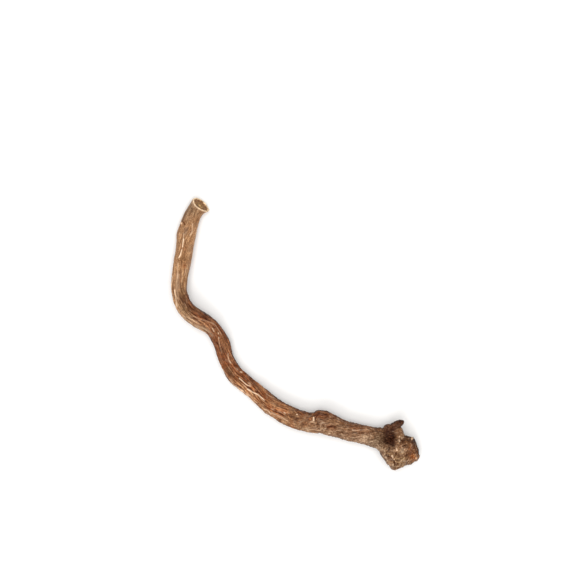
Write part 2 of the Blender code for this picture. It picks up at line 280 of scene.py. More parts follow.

# Marks of this one root, all in its cork skin: crests rubbed pale by handling, creases at the
# bends, the slot and the collar where the rind laps over itself, beads and small warts. Painted
# highlights add to the pale crests and beads, and painted shade to the dark creases. Each follows
# a path of distance and angle: 0 degrees is the root's left, 90 its top, 180 its right.
RUBBED_AND_GLINT_CREAM, SUNKEN_AND_SHADE_DARK = "#F8D6B4", "#956F4B"
MARK_EDGE, MARK_RAGGEDNESS, GRAIN_RAGGEDNESS, MARK_GRAIN = 0.7, 0.10, 0.5, 0.3
MARKS = [  # width, height, tone (pale above zero, dark below), path
    # pale crests with painted highlights, the ring and the scar's bare edge
    (0.36, 0.14, 0.55, [(13.6, 68), (15.9, 56), (17.4, 59), (18.3, 67)]),
    (0.26, 0.20, 0.6, [(18.3, 106), (20.3, 103)]),
    (0.40, 0.24, 1.2, [(20.5, 102), (22.0, 104), (23.5, 104)]),
    (0.40, 0.26, 1.3, [(24.8, 107), (27.0, 109), (28.2, 116)]),
    (0.50, 0.12, 0.4, [(30.5, 112), (33.5, 106), (36.0, 100)]),
    (0.30, 0.10, 0.4, [(32.0, 52), (34.8, 50)]),
    (0.30, 0.10, 0.4, [(35.5, 68), (37.5, 62)]),
    (0.32, 0.12, 0.9, [(35.5, 150), (39.3, 149), (42.0, 152)]),
    (0.32, 0.20, 1.1, [(40.8, 116), (43.5, 121), (46.5, 134)]),
    (0.60, 0.15, 0.3, [(46.5, 150), (49.0, 160), (51.5, 158)]),
    (0.30, 0.10, 0.5, [(48.0, 142), (51.5, 150), (54.5, 148)]),
    (0.50, 0.12, 0.4, [(50.5, 135), (53.0, 118), (55.5, 110)]),
    (0.35, 0.15, 0.35, [(53.0, 92), (57.0, 80), (59.5, 66), (61.5, 55), (66.0, 60)]),
    (0.26, 0.10, 0.4, [(66.5, 88), (68.5, 100), (70.5, 104), (73.0, 106)]),
    (0.40, 0.15, 0.5, [(74.0, 66), (76.0, 74), (78.0, 72)]),
    (0.40, 0.15, 0.5, [(79.0, 150), (82.0, 158), (84.5, 150)]),
    (0.35, 0.10, 0.2, [(80.0, 60), (82.0, 58)]),
    (0.28, 0.12, 0.9, [(83.3, 166), (85.2, 158)]),
    (0.28, 0.20, 0.9, [(83.6, 42), (84.4, 37)]),
    (0.27, 0.20, 1.5, [(85.3, 85), (89.2, 88), (90.6, 78)]),
    (0.32, 0.15, 1.1, [(85.9, 154), (89.6, 150)]),
    (0.40, 0.15, 0.9, [(89.0, 166), (93.0, 164)]),
    (0.28, 0.22, 1.25, [(90.4, 106), (93.0, 101), (95.0, 89), (98.5, 91)]),
    (0.28, 0.12, 0.7, [(91.0, 143), (97.0, 142)]),
    (0.35, 0.15, 0.5, [(97.5, 48), (100.3, 44)]),
    (0.35, 0.20, 0.8, [(100.5, 142), (102.0, 133), (103.8, 140)]),
    (0.50, 0.15, 0.5, [(103.5, 128), (107.0, 118), (110.5, 116)]),
    (0.26, 0.15, 0.7, [(117.6, 120), (117.8, 135)]),
    (0.24, 0.15, 0.5, [(118.3, 124), (118.5, 144)]),
    (0.25, 0.12, 0.5, [(119.5, 160), (124.0, 160), (128.0, 152)]),
    (0.25, 0.15, 0.6, [(119.9, 131), (121.9, 132)]),
    (0.36, 0.15, 0.4, [(120.4, 74), (119.2, 82)]),
    (0.38, 0.35, 1.4, [(120.8, 54), (120.6, 70)]),
    (0.25, 0.15, 0.3, [(120.9, 80), (121.3, 124)]),
    (0.28, 0.12, 0.3, [(123.6, 108), (123.6, 92), (124.6, 86), (125.6, 92), (125.7, 104)]),
    (0.35, 0.18, 0.7, [(125.5, 122), (126.2, 111)]),
    (0.25, 0.15, 0.5, [(129.0, 32), (136.0, 31)]),
    (0.30, 0.18, 0.5, [(137.0, 74), (140.0, 62), (143.5, 50)]),
    (0.22, 0.20, 0.6, [(140.5, 92), (142.2, 87), (143.3, 103), (142.3, 120), (140.8, 117)]),
    (0.22, 0.20, 0.6, [(141.4, 100), (142.4, 103), (141.8, 111)]),
    # wide pale patches
    (1.20, 0.10, 0.26, [(15.6, 96), (18.0, 98)]),
    (1.00, 0.00, 0.15, [(23.0, 56), (26.5, 53)]),
    (1.00, 0.00, 0.15, [(30.5, 44), (34.0, 42)]),
    (1.30, 0.05, 0.36, [(35.0, 100), (40.0, 102), (44.0, 108)]),
    (1.00, 0.00, 0.12, [(37.0, 81), (40.5, 80)]),
    (0.95, 0.15, 0.4, [(56.3, 142), (58.0, 134), (61.0, 131), (64.5, 124)]),
    (1.20, 0.00, 0.09, [(102.0, 72), (107.0, 72)]),
    (1.50, 0.00, 0.10, [(131.0, 90), (137.0, 92)]),
    # beads and small warts, lit by painted highlights
    (0.42, 0.30, 1.3, [(14.7, 147), (14.8, 141)]),
    (0.35, 0.20, 0.8, [(62.3, 89), (62.5, 89)]),
    (0.35, 0.20, 0.8, [(63.3, 93), (63.5, 94)]),
    (0.35, 0.20, 0.9, [(64.9, 74), (65.3, 75)]),
    (0.35, 0.20, 0.6, [(66.6, 86), (66.8, 87)]),
    (0.35, 0.20, 0.9, [(107.8, 83), (108.3, 84)]),
    (0.35, 0.25, 1.4, [(112.8, 58), (113.2, 57)]),
    (0.30, 0.20, 0.8, [(128.2, 132), (128.6, 131)]),
    (0.30, 0.20, 0.8, [(136.6, 71), (137.0, 70)]),
    (0.45, 0.45, 0.9, [(143.6, 34), (144.0, 33)]),
    # dark creases, cracks and the slot, partly painted shade
    (0.34, -0.30, -1.0, [(14.0, 141), (14.2, 130), (14.8, 118)]),
    (0.28, -0.12, -0.2, [(35.5, 92), (38.0, 86), (41.5, 84)]),
    (0.30, -0.20, -0.4, [(42.5, 38), (44.5, 30), (47.0, 40)]),
    (0.80, -0.30, -0.6, [(46.5, 68), (48.5, 62), (53.0, 60), (58.0, 48)]),
    (0.35, -0.25, -0.6, [(50.0, 84), (53.0, 78), (56.0, 66), (60.0, 50)]),
    (0.28, -0.20, -0.55, [(53.5, 102), (55.0, 93), (57.0, 84), (60.0, 76), (63.0, 71)]),
    (0.26, -0.15, -0.5, [(68.0, 120), (71.0, 114), (74.0, 100)]),
    (0.30, -0.20, -0.7, [(85.0, 100), (88.0, 98), (91.0, 97)]),
    (0.30, -0.20, -0.6, [(86.5, 134), (90.5, 142)]),
    (0.30, -0.18, -0.4, [(90.5, 70), (95.0, 70), (98.5, 75)]),
    (0.36, -0.18, -0.5, [(90.6, 92), (92.5, 93), (94.3, 80)]),
    (0.25, -0.15, -0.5, [(91.5, 152), (96.5, 148)]),
    (0.30, -0.20, -0.6, [(94.0, 118), (99.0, 119)]),
    (0.70, -0.30, -0.6, [(100.0, 120), (104.0, 112), (106.5, 103), (108.3, 108)]),
    (0.20, -0.10, -0.5, [(117.2, 50), (117.3, 100)]),
    (0.25, -0.12, -0.4, [(118.7, 148), (121.5, 144), (124.2, 143)]),
    (0.26, -0.25, -0.6, [(121.5, 54), (121.5, 74)]),
    (0.60, -0.30, -0.7, [(121.6, 58), (122.4, 42), (125.0, 35)]),
    (0.50, -0.12, -0.3, [(124.5, 99), (124.8, 101)]),
    (0.30, -0.25, -0.8, [(125.4, 65), (126.2, 62)]),
    (0.36, -0.50, -1.0, [(126.8, 102), (128.1, 91), (129.6, 83)]),
    (0.30, -0.25, -0.7, [(131.1, 90), (131.6, 88)]),
    (0.28, -0.18, -0.6, [(132.5, 107), (135.0, 101), (137.5, 99)]),
    (0.28, -0.18, -0.6, [(137.5, 82), (140.0, 74), (143.0, 66)]),
    # wide darker shades
    (2.50, 0.00, -0.20, [(5.5, 95), (9.5, 98)]),
    (1.40, 0.00, -0.38, [(10.8, 150), (13.0, 138)]),
    (1.20, 0.00, -0.14, [(21.0, 84), (26.5, 86)]),
    (1.60, 0.00, -0.18, [(73.0, 96), (81.0, 88)]),
    (1.20, -0.12, -0.3, [(122.6, 78), (125.0, 67)]),
    (1.10, -0.08, -0.35, [(122.6, 50), (125.5, 42)]),
    (1.40, 0.00, -0.25, [(123.5, 98), (127.0, 98)]),
]
BUMPS = [  # distance, angle, size along, size across, height
    (14.5, 150.0, 1.0, 0.9, 0.40),
    (15.6, 126.0, 0.8, 0.8, -0.3),
    (60.0, 250.0, 1.6, 1.2, 0.6),
    (63.5, 95.0, 3.0, 0.8, 0.35),
    (104.0, 300.0, 1.4, 1.4, 0.8),
    (124.0, 15.0, 3.0, 2.0, 0.5),
    (126.5, 87.0, 1.3, 1.3, 0.4),
    (139.5, 240.0, 1.3, 1.3, 0.7),
    (150.8, 80.0, 2.4, 3.4, -4.2),
    (160.5, 6.0, 2.4, 2.6, 0.9),
]


def path_distance(path):
    """How far each point of the rind is from a path of distances and angles."""
    nearest = np.full(distance.shape, np.inf)
    for (s0, a0), (s1, a1) in zip(path, path[1:]):
        along_gap = distance - s0
        around_gap = (turn - math.radians(a0)) * radius
        step = s1 - s0
        arc = math.radians(a1 - a0) * radius
        t = np.clip((along_gap * step + around_gap * arc) / (step * step + arc * arc), 0.0, 1.0)
        nearest = np.minimum(nearest, np.hypot(along_gap - t * step, around_gap - t * arc))
    return nearest


def spot(s, angle, length, width):
    """1 at a place on the rind, falling away over its length and width."""
    away = np.remainder(turn - math.radians(angle) + math.pi, math.tau) - math.pi
    return np.exp(-((distance - s) / length) ** 2 - (away * radius / width) ** 2)


ragged = MARK_RAGGEDNESS * (patches + fine_patches + GRAIN_RAGGEDNESS * grain)
for width, height, tone, path in MARKS:
    shape = np.exp(-((path_distance(path) + ragged) / (MARK_EDGE * width)) ** 2)
    relief += height * shape
    pale += max(tone, 0.0) * shape * (1.0 + MARK_GRAIN * grain)
    dark += max(-tone, 0.0) * shape
for *place, height in BUMPS:
    relief += height * spot(*place)

# Stains: the cork soaked up its own red-brown sap unevenly as it dried, and greyed where it
# weathered. The tint is redder above zero and greyer below, and each stain is one such place.
GREYER_SKIN, REDDER_SKIN, TINT_GAIN = "#F1FDFF", "#FFDDC7", 1.02
TINT_PATCH_SIZE, TINT_SEED = 2.4, 13.0
TINT_CHANGE = [(34, 0.2), (50, 0.5), (110, 0.5), (125, 0.35)]
REDDER = [(52, 0.0), (66, 0.7), (84, 0.65), (92, 0.5), (104, 0.4), (116, 0.0)]
STAINS = [  # distance, angle, size along, size across, strength
    (8.5, 95.0, 2.5, 2.6, -0.5),
    (30.8, 68.0, 0.9, 0.8, 0.8),
    (34.0, 20.0, 3.0, 1.2, -0.5),
    (41.5, 50.0, 2.5, 1.2, -0.6),
    (49.0, 100.0, 2.4, 1.6, -0.7),
    (55.0, 68.0, 5.0, 1.3, 0.7),
    (60.0, 138.0, 3.5, 1.0, -0.6),
    (70.0, 60.0, 3.0, 1.6, -0.4),
    (76.0, 104.0, 2.0, 1.8, 0.9),
    (80.6, 108.0, 1.8, 1.4, -0.8),
    (85.0, 45.0, 4.0, 1.4, 0.5),
    (92.5, 78.0, 3.0, 0.6, 0.9),
    (96.5, 70.0, 3.0, 1.0, 0.5),
    (104.5, 100.0, 3.5, 1.4, 1.0),
    (107.8, 78.0, 1.8, 1.4, 0.8),
    (114.5, 42.0, 2.2, 1.2, 0.9),
    (113.0, 140.0, 1.8, 1.0, 0.8),
    (118.8, 60.0, 1.4, 1.0, 0.9),
    (123.0, 49.0, 2.2, 1.2, 1.0),
    (128.2, 91.0, 1.6, 0.7, 1.0),
    (134.5, 110.0, 2.0, 1.4, -0.2),
    (138.5, 60.0, 3.0, 1.6, 0.4),
    (147.2, 95.0, 2.2, 3.0, -0.9),
]
tint = along(TINT_CHANGE, distance) * noise_over(plain / TINT_PATCH_SIZE + TINT_SEED)
tint += along(REDDER, distance)
for *place, strength in STAINS:
    tint += strength * spot(*place)

# Browning, painted shade and dust: damp and age browned the cork, and fine earth clings to it. The
# tail stayed tan, the left side is brown from the first bend on, and the right side along the middle
# and again below the crown. On the flanks this brown is partly painted shade, and the top is painted
# lighter. Dust greys the right side by the cut, at the first bend and on the neck.
DRY_TAN, DAMP_BROWN, DUST_GREY = "#A27853", "#5A2A0C", "#90755E"
BROWNED_AND_SHADED_LEFT = [(39, 0.1), (44, 1.0), (58, 1.0), (66, 0.8), (76, 0.8), (86, 0.85), (96, 0.7),
                (112, 0.7), (122, 0.95), (134, 0.8), (160, 0.75)]
BROWNED_AND_SHADED_RIGHT = [(42, 0.1), (58, 0.15), (66, 0.85), (80, 0.62), (88, 0.05), (104, 0.1),
                 (114, 0.4), (150, 0.65), (160, 0.45)]
DUST_ON_RIGHT = [(6, 0.9), (11, 0.7), (15, 0.2), (36, 0.0), (43, 0.2), (52, 0.45), (58, 0.4),
                 (63, 0.0), (108, 0.1), (126, 0.5), (146, 0.9), (156, 0.3)]
PAINTED_LIGHT_ON_TOP, BROWN_PATCHES, DUST_PATCHES = 0.24, 0.2, 0.4
# Along some stretches a painted highlight lightens the widest line of the root to a pale rim.
# Painted shade darkens the underside, and reaches higher on the crown.
RIM_BAND, RIM_PATCHES, RIM_HIGHLIGHT_STRENGTH, RIM_HIGHLIGHT_OVER_SHADE = (0.86, 1.0), 0.8, 0.3, 0.8
UNDERSIDE_SHADE_SPAN, HIGHER_ON_CROWN, UNDERSIDE_SHADE_COLOUR = (-0.50, 0.10), (0.15, 0.25), "#AA9789"
RIM_HIGHLIGHT_LEFT = [(30, 1.0), (36, 0.0)]
RIM_HIGHLIGHT_RIGHT = [(30, 0.8), (36, 0.9), (62, 0.9), (66, 0.0), (84, 0.0), (88, 0.8), (104, 0.8),
                  (108, 0.2)]
left_share = 0.5 + 0.5 * np.cos(turn)
# Partly painted shade on the flanks, with the top painted lighter.
browned = along(BROWNED_AND_SHADED_LEFT, distance) * left_share
browned += along(BROWNED_AND_SHADED_RIGHT, distance) * (1.0 - left_share)
browned += BROWN_PATCHES * patches - PAINTED_LIGHT_ON_TOP * np.maximum(np.sin(turn), 0.0)
browned = np.clip(browned, 0.0, 1.0)
dust = along(DUST_ON_RIGHT, distance) * (1.0 - left_share)
dust *= 1.0 + DUST_PATCHES * fine_patches
# Painted highlight: a pale rim along the widest line of the root.
rim_highlight = along(RIM_HIGHLIGHT_LEFT, distance) * left_share
rim_highlight += along(RIM_HIGHLIGHT_RIGHT, distance) * (1.0 - left_share)
rim_band = smooth_step(abs(np.cos(turn)), *RIM_BAND) * (1.0 + RIM_PATCHES * fine_patches)
# Painted shade: the underside and the lower flanks are darker.
beneath = smooth_step(-np.sin(turn), UNDERSIDE_SHADE_SPAN[0] - HIGHER_ON_CROWN[0] * crown,
                      UNDERSIDE_SHADE_SPAN[1] - HIGHER_ON_CROWN[1] * crown)
beneath *= 1.0 - RIM_HIGHLIGHT_OVER_SHADE * rim_highlight

# The crown: the root's corky head, where leaves and old stems broke away. It has a deep rotted
# pit by the neck, a raised lip round the pit, a pale lump, and a patch where the bark is off and
# orange flesh shows. Places on it are x and y in plan.
PIT_SHADE_COLOUR, TORN_ORANGE, TORN_GAIN = "#8B6F65", "#FFD3AD", 1.10
# The pit's darkness is painted shade, deepest in its middle.
PIT_PLACE, PIT_SIZE, PIT_DARKNESS = (37.0, -40.8), (2.6, 3.2), 1.25
PIT_PATCHES, PIT_OVER_PALE = 0.25, 0.9
TORN_PLACES = [(46.4, -48.6, 1.6, 1.0), (45.8, -45.2, 2.4, 0.5)]  # x, y, size, share
TORN_PATCHES, TORN_SMOOTHNESS = 0.2, 0.6
CROWN_GREYNESS = 0.5
KNOB_SIZE, KNOB_HEIGHT = 3.4, 1.2
SMALL_KNOB_SIZE, SMALL_KNOB_HEIGHT = 1.5, 0.5
CRUMB_SIZE, CRUMB_BEND, CRACK_WIDTH = 1.5, 0.35, 0.10
WRINKLE_SIZE, WRINKLE_SEED, WRINKLE_WIDTH = (2.6, 1.6, 1.6), 91.0, 0.10
GRIT_SIZE, GRIT_SEED = 0.5, 71.0
GRIT_HEIGHT, CRUMB_STEPS, CRACK_DEPTH, WRINKLE_DEPTH = 0.3, 0.3, 0.2, 0.3
PALE_GRIT, DARK_GRIT = (0.25, 0.5), (0.2, 0.5)
PALE_GRIT_TONE, DARK_GRIT_TONE, CRACK_TONE, WRINKLE_TONE = 0.5, 0.6, 0.3, 0.5
FOLDS_LOST, PALE_LOST = 0.4, 0.6
RIDGE_TONE, RIDGE_GRIT = 0.8, 0.6
ROUND_END = 3.0
CROWN_LUMPS = [  # x, y, size, rise
    (41.6, -45.8, 2.0, 0.5),
    (41.0, -48.0, 2.0, -0.3),
    (45.4, -44.8, 2.2, -0.7),
    (41.9, -41.4, 0.8, 0.8),
    (39.2, -46.2, 0.8, 0.8),
    (42.0, -51.0, 2.2, 0.5),
    (47.6, -48.6, 1.2, 0.6),
    (34.0, -47.0, 1.2, 0.4),
    (42.8, -44.3, 0.6, 0.6),
]
CROWN_RIDGES = [  # width, height, tone, path in plan
    (0.45, 0.60, 0.2, [(41.9, -36.8), (41.1, -39.6), (40.7, -42.4), (39.7, -45.0)]),
    (0.45, 0.40, 0.2, [(39.7, -45.0), (37.1, -45.8), (34.3, -45.6), (32.3, -44.6)]),
    (0.45, 0.30, 0.3, [(31.9, -45.2), (34.9, -47.0), (36.8, -50.0), (38.7, -52.4)]),
    # The dark grooves below are darkened with painted shade.
    (0.35, -0.38, -0.5, [(38.4, -46.9), (40.4, -47.4), (42.4, -47.9), (44.6, -47.3)]),
    (0.35, -0.34, -0.45, [(36.2, -47.6), (38.0, -49.6), (39.6, -51.4)]),
    (0.35, -0.40, -0.8, [(43.6, -43.4), (44.8, -43.1), (46.0, -42.6)]),
    (0.30, 0.30, 0.2, [(40.8, -49.0), (43.0, -49.8), (45.4, -49.6)]),
    (0.30, 0.30, 0.2, [(40.2, -52.0), (42.2, -52.2), (43.8, -51.2)]),
]
CROWN_SPOTS = [  # x, y, size, rubbed, redder, browned
    (33.9, -41.2, 2.4, -0.2, -1.2, 0.05),
    (44.2, -41.0, 2.0, -0.1, -0.4, 0.15),
    (41.9, -45.6, 1.4, 0.40, -0.4, -0.3),
    (45.9, -45.0, 1.7, 0.0, 0.3, 0.0),
    # The next spot is painted shade along the crown's right rim.
    (49.1, -46.4, 1.0, 0.0, 0.0, 0.4),
    (47.1, -49.5, 0.4, 0.0, 0.0, 0.9),
    (41.5, -50.4, 2.6, 0.0, -0.7, -0.2),
    # The small bright spots below are painted glints.
    (39.9, -45.5, 0.32, 1.4, 0.0, 0.0),
    (37.9, -48.2, 0.32, 1.3, 0.0, 0.0),
    (38.2, -48.9, 0.28, 1.1, 0.0, 0.0),
    (38.8, -49.6, 0.28, 0.9, 0.0, 0.0),
    (41.0, -40.5, 0.32, 1.2, 0.0, 0.0),
    (42.5, -40.8, 0.32, 1.2, 0.0, 0.0),
    (40.6, -42.4, 0.28, 1.0, 0.0, 0.0),
    (47.9, -49.0, 0.5, 0.4, 0.0, -0.3),
    (46.1, -41.5, 0.3, 1.2, 0.0, 0.0),
    (38.5, -38.5, 0.3, 0.8, 0.0, 0.0),
]


def plan_distance(places, path):
    """How far each place is, in plan, from a path of x and y."""
    nearest = np.full(places.shape[:-1], np.inf)
    for (x0, y0), (x1, y1) in zip(path, path[1:]):
        x_gap, y_gap = places[..., 0] - x0, places[..., 1] - y0
        dx, dy = x1 - x0, y1 - y0
        t = np.clip((x_gap * dx + y_gap * dy) / (dx * dx + dy * dy), 0.0, 1.0)
        nearest = np.minimum(nearest, np.hypot(x_gap - t * dx, y_gap - t * dy))
    return nearest


def stain(places, x, y, size):
    """1 at a place in plan on the crown, falling away over the size."""
    return np.exp(-((places[..., 0] - x) ** 2 + (places[..., 1] - y) ** 2) / size ** 2)


def torn_share(places):
    """Where the bark is off and the orange flesh of the crown shows."""
    return sum(share * stain(places, x, y, size) for x, y, size, share in TORN_PLACES)


def pit_shade_share(places):
    """Where painted shade darkens the crown in its rotted pit."""
    across, along_y = ((places[..., axis] - PIT_PLACE[axis]) / PIT_SIZE[axis] for axis in (0, 1))
    return PIT_DARKNESS * np.exp(-across ** 4 - along_y ** 4)


def crown_spots(places):
    """How much more rubbed, redder and browner the crown is at these places."""
    more = np.zeros((3,) + places.shape[:-1])
    for x, y, size, *changes in CROWN_SPOTS:
        more += np.array(changes)[:, None, None] * stain(places, x, y, size)
    return more


def grit_over(points):
    return noise_over(points / GRIT_SIZE + GRIT_SEED)


def wrinkles_over(points):
    return line(noise_over(points / WRINKLE_SIZE + WRINKLE_SEED), WRINKLE_WIDTH)


crumb_border, crumb_chance = cells_over(plain / CRUMB_SIZE + CRUMB_BEND * fine_patches[..., None])
crack = line(crumb_border, CRACK_WIDTH)
wrinkle = wrinkles_over(plain)
grit = grit_over(plain)
barked = 1.0 - TORN_SMOOTHNESS * np.minimum(torn_share(plain), 1.0)
lumps = KNOB_HEIGHT * noise_over(plain / KNOB_SIZE)
lumps += SMALL_KNOB_HEIGHT * noise_over(plain / SMALL_KNOB_SIZE)
lumps += barked * (GRIT_HEIGHT * grit + CRUMB_STEPS * (crumb_chance - 0.5)
                   - CRACK_DEPTH * crack - WRINKLE_DEPTH * wrinkle)
upper = (np.sin(turn) > 0) * 1.0
for x, y, size, rise in CROWN_LUMPS:
    lumps += rise * upper * stain(plain, x, y, size)
relief = relief * (1.0 - FOLDS_LOST * crown) + crown * lumps
pale = pale * (1.0 - PALE_LOST * crown)
pale += crown * PALE_GRIT_TONE * smooth_step(grit, *PALE_GRIT)
# The crown's cracks and wrinkles are darkened partly with painted shade.
dark += crown * barked * (CRACK_TONE * crack + WRINKLE_TONE * wrinkle
                          + DARK_GRIT_TONE * smooth_step(-grit, *DARK_GRIT))
for width, height, tone, path in CROWN_RIDGES:
    shape = upper * np.exp(-((plan_distance(plain, path) + ragged) / width) ** 2)
    relief += height * shape
    pale += max(tone, 0.0) * shape * (RIDGE_TONE + RIDGE_GRIT * grit)
    dark += max(-tone, 0.0) * shape
relief *= smooth_step(radius, 0.0, ROUND_END)
pit = np.clip(pit_shade_share(plain) + PIT_PATCHES * patches, 0.0, 1.0) * crown * upper
torn = np.clip(torn_share(plain) + TORN_PATCHES * fine_patches, 0.0, 1.0) * crown
rubbed_more, tint_more, browned_more = crown_spots(plain) * crown
pale = (pale + rubbed_more + RIM_HIGHLIGHT_STRENGTH * rim_highlight * rim_band) * (1.0 - PIT_OVER_PALE * pit)
tint = tint + tint_more - CROWN_GREYNESS * crown
browned = np.clip(browned + browned_more, 0.0, 1.0)

# The cut face of the tail: a slanting knife cut through rind and flesh, with a raised cream rim of
# bark. The fibrous flesh inside browned and sank as it dried. The crown's far end has no cut, and
# closes with a ragged bulge of crumbs.
FLESH_COLOURS = [  # share of the way from the rim to the core, colour
    (0.00, "#E8D2B0"),
    (0.12, "#E4C8A2"),
    (0.19, "#8C6444"),
    (0.60, "#88643E"),
    (0.90, "#B08C5C"),
]
LIP_RISE, LIP_LENGTH, LIP_SIDE = 0.7, 1.1, (0.2, 1.0)
CREAM_RIM_WIDTH = 0.35
FACE_RINGS = [0.985, 0.9, 0.8, 0.7, 0.6, 0.5, 0.42, 0.34, 0.27, 0.21, 0.16, 0.12, 0.085, 0.055,
              0.025]
RIM_RIDGE, RIM_RIDGE_AT, RIM_RIDGE_WIDTH = 0.10, 0.05, 0.04
FLESH_SINK, SINK_FROM_TO = 0.35, (0.10, 0.35)
ROUGH_FROM_TO = (0.02, 0.1)
COARSE_FIBRES, FINE_FIBRES = (1.1, 0.22), (0.4, 0.14)  # size, height
END_RINGS = [0.04, 0.1, 0.18, 0.28, 0.4, 0.55, 0.7, 0.85, 0.97]
END_BULGE, END_CRUMB_WAY = np.array([0.4, -0.2, -0.2]), np.array([0.8, -0.4, 0.2])
END_CRUMB_SIZE, END_CRUMB_HEIGHT, END_CRUMBS_FULL = 0.8, 0.25, 0.2

lip = np.exp(-((distance - cuts) / LIP_LENGTH) ** 2) * smooth_step(np.cos(turn), *LIP_SIDE)
relief += LIP_RISE * lip
pale += np.exp(-((distance - cuts) / CREAM_RIM_WIDTH) ** 2)
point = plain + aside * (relief * np.cos(turn))[..., None]
point[..., 2] += relief * np.sin(turn)

face_t = np.array(FACE_RINGS)[:, None]
rim = point[0]
face = rim.mean(0) + (rim - rim.mean(0))[None, :, :] * (1.0 - face_t)[..., None]
fibres = sum(height * noise_over(face / size) for size, height in (COARSE_FIBRES, FINE_FIBRES))
sink = RIM_RIDGE * np.exp(-((face_t - RIM_RIDGE_AT) / RIM_RIDGE_WIDTH) ** 2)
sink = sink - FLESH_SINK * smooth_step(face_t, *SINK_FROM_TO)
sink = sink + smooth_step(face_t, *ROUGH_FROM_TO) * fibres
face += sink[..., None] * cut_normal

end_t = np.array(END_RINGS)[:, None]
end_rim = point[-1]
end_middle = end_rim.mean(0)
end = end_middle + (end_rim - end_middle)[None, :, :] * (1.0 - end_t)[..., None]
end += np.sqrt(1.0 - (1.0 - end_t) ** 2)[..., None] * END_BULGE
crumbs = END_CRUMB_HEIGHT * smooth_step(end_t, 0.0, END_CRUMBS_FULL) * noise_over(end / END_CRUMB_SIZE)
end += crumbs[..., None] * END_CRUMB_WAY

# The broken stumps on the crown: a slim horn with a blunt tip beside the pit and six low knobs,
# the torn feet of old leaf stalks. They grew from the crown and are sunk well into it.
STUMPS = [  # sunken foot, tip, foot radius, tip radius, browned
    ((36.9, -38.2, 6.4), (42.8, -34.1, 8.8), 1.8, 1.15, 1.0),
    ((36.6, -39.8, 6.0), (36.9, -35.5, 7.0), 2.4, 1.5, 0.9),
    ((39.6, -40.2, 6.0), (41.7, -37.0, 8.6), 2.3, 1.2, 0.6),
    ((39.8, -44.8, 7.8), (42.3, -38.8, 8.4), 1.7, 1.2, 0.4),
    ((41.0, -45.5, 6.3), (45.9, -43.1, 8.3), 2.8, 1.5, 0.4),
    ((41.0, -48.5, 4.5), (47.3, -50.3, 4.2), 3.0, 1.5, 0.6),
    ((40.5, -49.0, 4.0), (38.4, -54.0, 3.6), 3.0, 1.3, 0.5),
]
STUMP_SIDES, STUMP_RINGS, STUMP_OPEN_END = 44, 36, 0.03
STUMP_BLUNTNESS = 4
STUMP_LUMPS = [(2.2, 0.7), (0.8, 0.3)]  # size, height
STUMP_RIDGES, RIDGE_LENGTH, RIDGE_WIDTH = 2.2, 0.8, 0.16
STUMP_GRIT_HEIGHT, STUMP_WRINKLE_DEPTH, STUMP_RIDGE_HEIGHT, STUMP_ROUND_TIP = 0.2, 0.2, 0.22, 2.0
STUMP_PALE_GRIT, STUMP_PALE_GRIT_TONE, STUMP_RIDGE_TONE = (0.22, 0.5), 0.6, 0.4
STUMP_DARK_GRIT_TONE, STUMP_WRINKLE_TONE = 0.5, 0.4
# Painted shade darkens each stump where it slopes under and low down, and in the pit.
UNDER_SLOPE = (-0.75, 0.0)
OLD_RUBBED_LESS, OLD_SUNKEN_MORE, STUMP_DUST, STUMP_PIT_SHADE = 0.8, 0.4, 0.15, 0.6
STUMP_LOW_SHADE, SLOPE_SHADE = (-4.5, -1.5), 0.7


def stump_surface(foot, tip, foot_radius, tip_radius):
    """Rings of points on a rough blunt stump, its tones, and how far it slopes under for its painted
    shade.
    """
    foot, tip = np.array(foot), np.array(tip)
    axis = (tip - foot) / np.linalg.norm(tip - foot)
    side = np.cross(axis, (0.0, 0.0, 1.0))
    side /= np.linalg.norm(side)
    over = np.cross(axis, side)
    slant = np.linspace(math.pi * (1.0 - STUMP_OPEN_END), math.pi * STUMP_OPEN_END, STUMP_RINGS)
    z, angle = np.meshgrid(np.cos(slant), np.arange(STUMP_SIDES) / STUMP_SIDES * math.tau,
                           indexing="ij")
    width = foot_radius + (tip_radius - foot_radius) * (z + 1) / 2
    width = width * np.sqrt(1.0 - abs(z) ** STUMP_BLUNTNESS)
    out = np.cos(angle)[..., None] * side + np.sin(angle)[..., None] * over
    half = np.linalg.norm(tip - foot) / 2
    bare = (foot + tip) / 2 + (z * half)[..., None] * axis + width[..., None] * out
    ridges = line(noise_over(np.stack([np.cos(angle) * STUMP_RIDGES, np.sin(angle) * STUMP_RIDGES,
                                       z * RIDGE_LENGTH + foot[0]], -1)), RIDGE_WIDTH)
    grit = grit_over(bare)
    wrinkle = wrinkles_over(bare)
    rough = sum(height * noise_over(bare / size) for size, height in STUMP_LUMPS)
    rough = rough + STUMP_GRIT_HEIGHT * grit - STUMP_WRINKLE_DEPTH * wrinkle
    rough = (rough + STUMP_RIDGE_HEIGHT * ridges) * smooth_step(width, 0.0, STUMP_ROUND_TIP)
    surface = bare + rough[..., None] * out
    rubbed = STUMP_RIDGE_TONE * ridges + STUMP_PALE_GRIT_TONE * smooth_step(grit, *STUMP_PALE_GRIT)
    sunken = STUMP_WRINKLE_TONE * wrinkle + STUMP_DARK_GRIT_TONE * smooth_step(-grit, *DARK_GRIT)
    slope = smooth_step(-out[..., 2], *UNDER_SLOPE)
    return surface, rubbed, sunken, slope


# The rind as one mesh: the cut face, the root and the crown's end are one closed shell, and each
# stump is another that is sunk into it. Each point carries how rubbed, sunken, stained, browned or
# dusty the rind is there, with its painted highlight on the crests and its painted shade in the
# creases, on the flanks, beneath and in the pit, which the bark's colours read.
MM = 0.001


